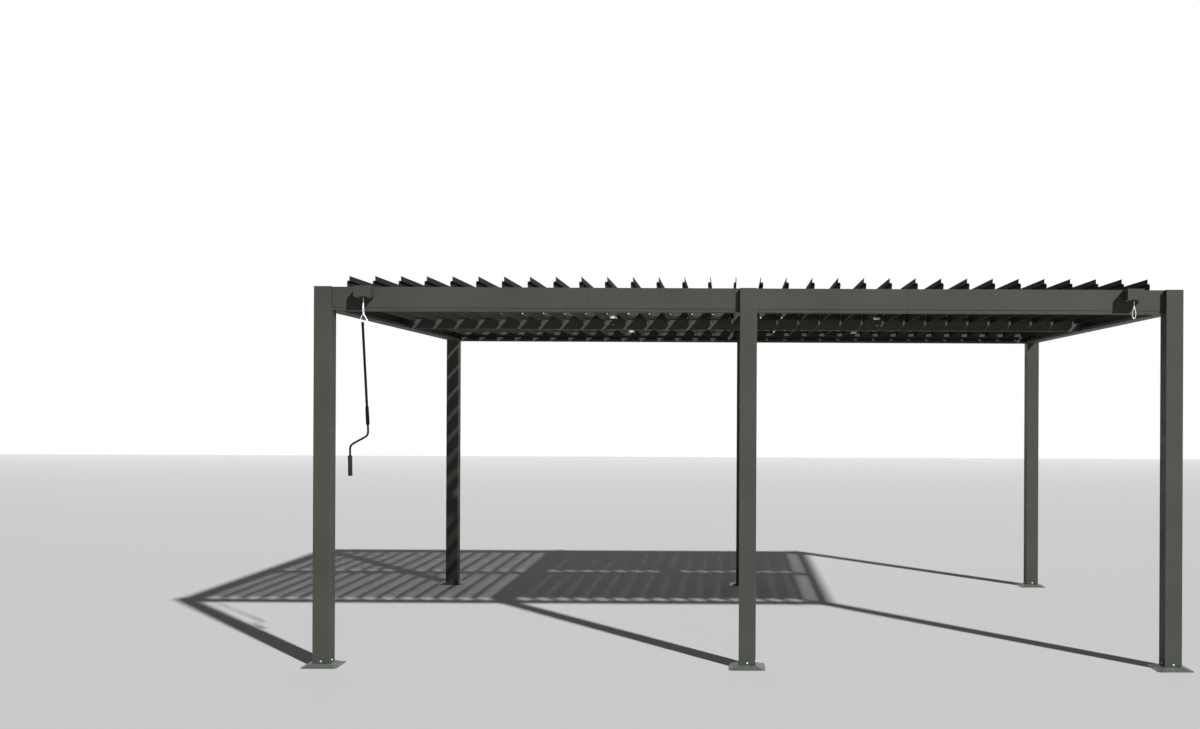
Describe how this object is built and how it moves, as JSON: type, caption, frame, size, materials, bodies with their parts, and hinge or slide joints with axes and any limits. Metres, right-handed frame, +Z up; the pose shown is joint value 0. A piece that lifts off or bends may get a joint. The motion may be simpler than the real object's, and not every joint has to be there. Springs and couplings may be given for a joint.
{
  "type": "louvred aluminium pergola",
  "caption": "Free-standing aluminium pergola with a roof of turning louvres in two bays, on posts with base plates, with gearboxes and a hand crank.",
  "frame": {"origin": "on the ground at the centre of the plan", "axes": "+X along the long side, +Y from the front with the gearboxes to the rear, +Z up"},
  "size_m": [5.52, 3.72, 2.44],
  "materials": {
    "frame_coat": "dark grey powder coat, satin",
    "louvre_coat": "dark grey powder coat, satin",
    "base_coat": "dark grey powder-coated pressed steel",
    "black_fitting": "black painted steel",
    "zinc": "bright zinc plate",
    "crank_coat": "black painted steel"
  },
  "bodies": {
    "frame": {"front_posts": "frame_coat", "rear_posts": "frame_coat", "post_caps": "frame_coat", "base_plates": "base_coat", "front_beam": "frame_coat", "rear_beam": "frame_coat", "side_beams": "frame_coat", "centre_beam": "frame_coat", "cross_beam": "frame_coat", "long_ledges": "frame_coat", "side_ledges": "frame_coat", "left_gearbox": "frame_coat", "right_gearbox": "frame_coat"},
    "left_louvre_01": {"left_louvre_01": "louvre_coat"},
    "left_louvre_02": {"left_louvre_02": "louvre_coat"},
    "left_louvre_03": {"left_louvre_03": "louvre_coat"},
    "left_louvre_04": {"left_louvre_04": "louvre_coat"},
    "left_louvre_05": {"left_louvre_05": "louvre_coat"},
    "left_louvre_06": {"left_louvre_06": "louvre_coat"},
    "left_louvre_07": {"left_louvre_07": "louvre_coat"},
    "left_louvre_08": {"left_louvre_08": "louvre_coat"},
    "left_louvre_09": {"left_louvre_09": "louvre_coat"},
    "left_louvre_10": {"left_louvre_10": "louvre_coat"},
    "left_louvre_11": {"left_louvre_11": "louvre_coat"},
    "left_louvre_12": {"left_louvre_12": "louvre_coat"},
    "left_louvre_13": {"left_louvre_13": "louvre_coat"},
    "left_louvre_14": {"left_louvre_14": "louvre_coat"},
    "left_louvre_15": {"left_louvre_15": "louvre_coat"},
    "left_louvre_16": {"left_louvre_16": "louvre_coat"},
    "left_push_bars": {"left_push_bars": "black_fitting"},
    "left_drive": {"left_eye": "zinc", "crank": "crank_coat"},
    "right_louvre_01": {"right_louvre_01": "louvre_coat"},
    "right_louvre_02": {"right_louvre_02": "louvre_coat"},
    "right_louvre_03": {"right_louvre_03": "louvre_coat"},
    "right_louvre_04": {"right_louvre_04": "louvre_coat"},
    "right_louvre_05": {"right_louvre_05": "louvre_coat"},
    "right_louvre_06": {"right_louvre_06": "louvre_coat"},
    "right_louvre_07": {"right_louvre_07": "louvre_coat"},
    "right_louvre_08": {"right_louvre_08": "louvre_coat"},
    "right_louvre_09": {"right_louvre_09": "louvre_coat"},
    "right_louvre_10": {"right_louvre_10": "louvre_coat"},
    "right_louvre_11": {"right_louvre_11": "louvre_coat"},
    "right_louvre_12": {"right_louvre_12": "louvre_coat"},
    "right_louvre_13": {"right_louvre_13": "louvre_coat"},
    "right_louvre_14": {"right_louvre_14": "louvre_coat"},
    "right_louvre_15": {"right_louvre_15": "louvre_coat"},
    "right_louvre_16": {"right_louvre_16": "louvre_coat"},
    "right_push_bars": {"right_push_bars": "black_fitting"},
    "right_drive": {"right_eye": "zinc"}
  },
  "joints": [
    {"name": "left_louvre_01_tilt", "type": "hinge", "parent": "frame", "child": "left_louvre_01", "pos_m": [-0.084, 0, 2.335], "axis": [0, 1, 0], "range_deg": [-90, 0]},
    {"name": "left_louvre_02_tilt", "type": "hinge", "parent": "frame", "child": "left_louvre_02", "pos_m": [-0.2465, 0, 2.335], "axis": [0, 1, 0], "range_deg": [-90, 0]},
    {"name": "left_louvre_03_tilt", "type": "hinge", "parent": "frame", "child": "left_louvre_03", "pos_m": [-0.409, 0, 2.335], "axis": [0, 1, 0], "range_deg": [-90, 0]},
    {"name": "left_louvre_04_tilt", "type": "hinge", "parent": "frame", "child": "left_louvre_04", "pos_m": [-0.5715, 0, 2.335], "axis": [0, 1, 0], "range_deg": [-90, 0]},
    {"name": "left_louvre_05_tilt", "type": "hinge", "parent": "frame", "child": "left_louvre_05", "pos_m": [-0.734, 0, 2.335], "axis": [0, 1, 0], "range_deg": [-90, 0]},
    {"name": "left_louvre_06_tilt", "type": "hinge", "parent": "frame", "child": "left_louvre_06", "pos_m": [-0.8965, 0, 2.335], "axis": [0, 1, 0], "range_deg": [-90, 0]},
    {"name": "left_louvre_07_tilt", "type": "hinge", "parent": "frame", "child": "left_louvre_07", "pos_m": [-1.059, 0, 2.335], "axis": [0, 1, 0], "range_deg": [-90, 0]},
    {"name": "left_louvre_08_tilt", "type": "hinge", "parent": "frame", "child": "left_louvre_08", "pos_m": [-1.2215, 0, 2.335], "axis": [0, 1, 0], "range_deg": [-90, 0]},
    {"name": "left_louvre_09_tilt", "type": "hinge", "parent": "frame", "child": "left_louvre_09", "pos_m": [-1.384, 0, 2.335], "axis": [0, 1, 0], "range_deg": [-90, 0]},
    {"name": "left_louvre_10_tilt", "type": "hinge", "parent": "frame", "child": "left_louvre_10", "pos_m": [-1.5465, 0, 2.335], "axis": [0, 1, 0], "range_deg": [-90, 0]},
    {"name": "left_louvre_11_tilt", "type": "hinge", "parent": "frame", "child": "left_louvre_11", "pos_m": [-1.709, 0, 2.335], "axis": [0, 1, 0], "range_deg": [-90, 0]},
    {"name": "left_louvre_12_tilt", "type": "hinge", "parent": "frame", "child": "left_louvre_12", "pos_m": [-1.8715, 0, 2.335], "axis": [0, 1, 0], "range_deg": [-90, 0]},
    {"name": "left_louvre_13_tilt", "type": "hinge", "parent": "frame", "child": "left_louvre_13", "pos_m": [-2.034, 0, 2.335], "axis": [0, 1, 0], "range_deg": [-90, 0]},
    {"name": "left_louvre_14_tilt", "type": "hinge", "parent": "frame", "child": "left_louvre_14", "pos_m": [-2.1965, 0, 2.335], "axis": [0, 1, 0], "range_deg": [-90, 0]},
    {"name": "left_louvre_15_tilt", "type": "hinge", "parent": "frame", "child": "left_louvre_15", "pos_m": [-2.359, 0, 2.335], "axis": [0, 1, 0], "range_deg": [-90, 0]},
    {"name": "left_louvre_16_tilt", "type": "hinge", "parent": "frame", "child": "left_louvre_16", "pos_m": [-2.5215, 0, 2.335], "axis": [0, 1, 0], "range_deg": [-90, 0]},
    {"name": "left_push_bars_link", "type": "hinge", "parent": "left_louvre_01", "child": "left_push_bars", "pos_m": [-0.117, 0, 2.31], "axis": [0, 1, 0], "range_deg": [0, 90]},
    {"name": "left_drive_turn", "type": "hinge", "parent": "frame", "child": "left_drive", "pos_m": [-2.39, -1.809, 2.24], "axis": [0, 0, 1], "continuous": true},
    {"name": "right_louvre_01_tilt", "type": "hinge", "parent": "frame", "child": "right_louvre_01", "pos_m": [0.084, 0, 2.335], "axis": [0, 1, 0], "range_deg": [0, 90]},
    {"name": "right_louvre_02_tilt", "type": "hinge", "parent": "frame", "child": "right_louvre_02", "pos_m": [0.2465, 0, 2.335], "axis": [0, 1, 0], "range_deg": [0, 90]},
    {"name": "right_louvre_03_tilt", "type": "hinge", "parent": "frame", "child": "right_louvre_03", "pos_m": [0.409, 0, 2.335], "axis": [0, 1, 0], "range_deg": [0, 90]},
    {"name": "right_louvre_04_tilt", "type": "hinge", "parent": "frame", "child": "right_louvre_04", "pos_m": [0.5715, 0, 2.335], "axis": [0, 1, 0], "range_deg": [0, 90]},
    {"name": "right_louvre_05_tilt", "type": "hinge", "parent": "frame", "child": "right_louvre_05", "pos_m": [0.734, 0, 2.335], "axis": [0, 1, 0], "range_deg": [0, 90]},
    {"name": "right_louvre_06_tilt", "type": "hinge", "parent": "frame", "child": "right_louvre_06", "pos_m": [0.8965, 0, 2.335], "axis": [0, 1, 0], "range_deg": [0, 90]},
    {"name": "right_louvre_07_tilt", "type": "hinge", "parent": "frame", "child": "right_louvre_07", "pos_m": [1.059, 0, 2.335], "axis": [0, 1, 0], "range_deg": [0, 90]},
    {"name": "right_louvre_08_tilt", "type": "hinge", "parent": "frame", "child": "right_louvre_08", "pos_m": [1.2215, 0, 2.335], "axis": [0, 1, 0], "range_deg": [0, 90]},
    {"name": "right_louvre_09_tilt", "type": "hinge", "parent": "frame", "child": "right_louvre_09", "pos_m": [1.384, 0, 2.335], "axis": [0, 1, 0], "range_deg": [0, 90]},
    {"name": "right_louvre_10_tilt", "type": "hinge", "parent": "frame", "child": "right_louvre_10", "pos_m": [1.5465, 0, 2.335], "axis": [0, 1, 0], "range_deg": [0, 90]},
    {"name": "right_louvre_11_tilt", "type": "hinge", "parent": "frame", "child": "right_louvre_11", "pos_m": [1.709, 0, 2.335], "axis": [0, 1, 0], "range_deg": [0, 90]},
    {"name": "right_louvre_12_tilt", "type": "hinge", "parent": "frame", "child": "right_louvre_12", "pos_m": [1.8715, 0, 2.335], "axis": [0, 1, 0], "range_deg": [0, 90]},
    {"name": "right_louvre_13_tilt", "type": "hinge", "parent": "frame", "child": "right_louvre_13", "pos_m": [2.034, 0, 2.335], "axis": [0, 1, 0], "range_deg": [0, 90]},
    {"name": "right_louvre_14_tilt", "type": "hinge", "parent": "frame", "child": "right_louvre_14", "pos_m": [2.1965, 0, 2.335], "axis": [0, 1, 0], "range_deg": [0, 90]},
    {"name": "right_louvre_15_tilt", "type": "hinge", "parent": "frame", "child": "right_louvre_15", "pos_m": [2.359, 0, 2.335], "axis": [0, 1, 0], "range_deg": [0, 90]},
    {"name": "right_louvre_16_tilt", "type": "hinge", "parent": "frame", "child": "right_louvre_16", "pos_m": [2.5215, 0, 2.335], "axis": [0, 1, 0], "range_deg": [0, 90]},
    {"name": "right_push_bars_link", "type": "hinge", "parent": "right_louvre_01", "child": "right_push_bars", "pos_m": [0.117, 0, 2.31], "axis": [0, 1, 0], "range_deg": [-90, 0]},
    {"name": "right_drive_turn", "type": "hinge", "parent": "frame", "child": "right_drive", "pos_m": [2.39, -1.809, 2.24], "axis": [0, 0, 1], "continuous": true}
  ],
  "couplings": [
    {"joint": "left_louvre_02_tilt", "follows": "left_louvre_01_tilt", "ratio": 1},
    {"joint": "left_louvre_03_tilt", "follows": "left_louvre_01_tilt", "ratio": 1},
    {"joint": "left_louvre_04_tilt", "follows": "left_louvre_01_tilt", "ratio": 1},
    {"joint": "left_louvre_05_tilt", "follows": "left_louvre_01_tilt", "ratio": 1},
    {"joint": "left_louvre_06_tilt", "follows": "left_louvre_01_tilt", "ratio": 1},
    {"joint": "left_louvre_07_tilt", "follows": "left_louvre_01_tilt", "ratio": 1},
    {"joint": "left_louvre_08_tilt", "follows": "left_louvre_01_tilt", "ratio": 1},
    {"joint": "left_louvre_09_tilt", "follows": "left_louvre_01_tilt", "ratio": 1},
    {"joint": "left_louvre_10_tilt", "follows": "left_louvre_01_tilt", "ratio": 1},
    {"joint": "left_louvre_11_tilt", "follows": "left_louvre_01_tilt", "ratio": 1},
    {"joint": "left_louvre_12_tilt", "follows": "left_louvre_01_tilt", "ratio": 1},
    {"joint": "left_louvre_13_tilt", "follows": "left_louvre_01_tilt", "ratio": 1},
    {"joint": "left_louvre_14_tilt", "follows": "left_louvre_01_tilt", "ratio": 1},
    {"joint": "left_louvre_15_tilt", "follows": "left_louvre_01_tilt", "ratio": 1},
    {"joint": "left_louvre_16_tilt", "follows": "left_louvre_01_tilt", "ratio": 1},
    {"joint": "left_push_bars_link", "follows": "left_louvre_01_tilt", "ratio": -1},
    {"joint": "right_louvre_02_tilt", "follows": "right_louvre_01_tilt", "ratio": 1},
    {"joint": "right_louvre_03_tilt", "follows": "right_louvre_01_tilt", "ratio": 1},
    {"joint": "right_louvre_04_tilt", "follows": "right_louvre_01_tilt", "ratio": 1},
    {"joint": "right_louvre_05_tilt", "follows": "right_louvre_01_tilt", "ratio": 1},
    {"joint": "right_louvre_06_tilt", "follows": "right_louvre_01_tilt", "ratio": 1},
    {"joint": "right_louvre_07_tilt", "follows": "right_louvre_01_tilt", "ratio": 1},
    {"joint": "right_louvre_08_tilt", "follows": "right_louvre_01_tilt", "ratio": 1},
    {"joint": "right_louvre_09_tilt", "follows": "right_louvre_01_tilt", "ratio": 1},
    {"joint": "right_louvre_10_tilt", "follows": "right_louvre_01_tilt", "ratio": 1},
    {"joint": "right_louvre_11_tilt", "follows": "right_louvre_01_tilt", "ratio": 1},
    {"joint": "right_louvre_12_tilt", "follows": "right_louvre_01_tilt", "ratio": 1},
    {"joint": "right_louvre_13_tilt", "follows": "right_louvre_01_tilt", "ratio": 1},
    {"joint": "right_louvre_14_tilt", "follows": "right_louvre_01_tilt", "ratio": 1},
    {"joint": "right_louvre_15_tilt", "follows": "right_louvre_01_tilt", "ratio": 1},
    {"joint": "right_louvre_16_tilt", "follows": "right_louvre_01_tilt", "ratio": 1},
    {"joint": "right_push_bars_link", "follows": "right_louvre_01_tilt", "ratio": -1}
  ]
}
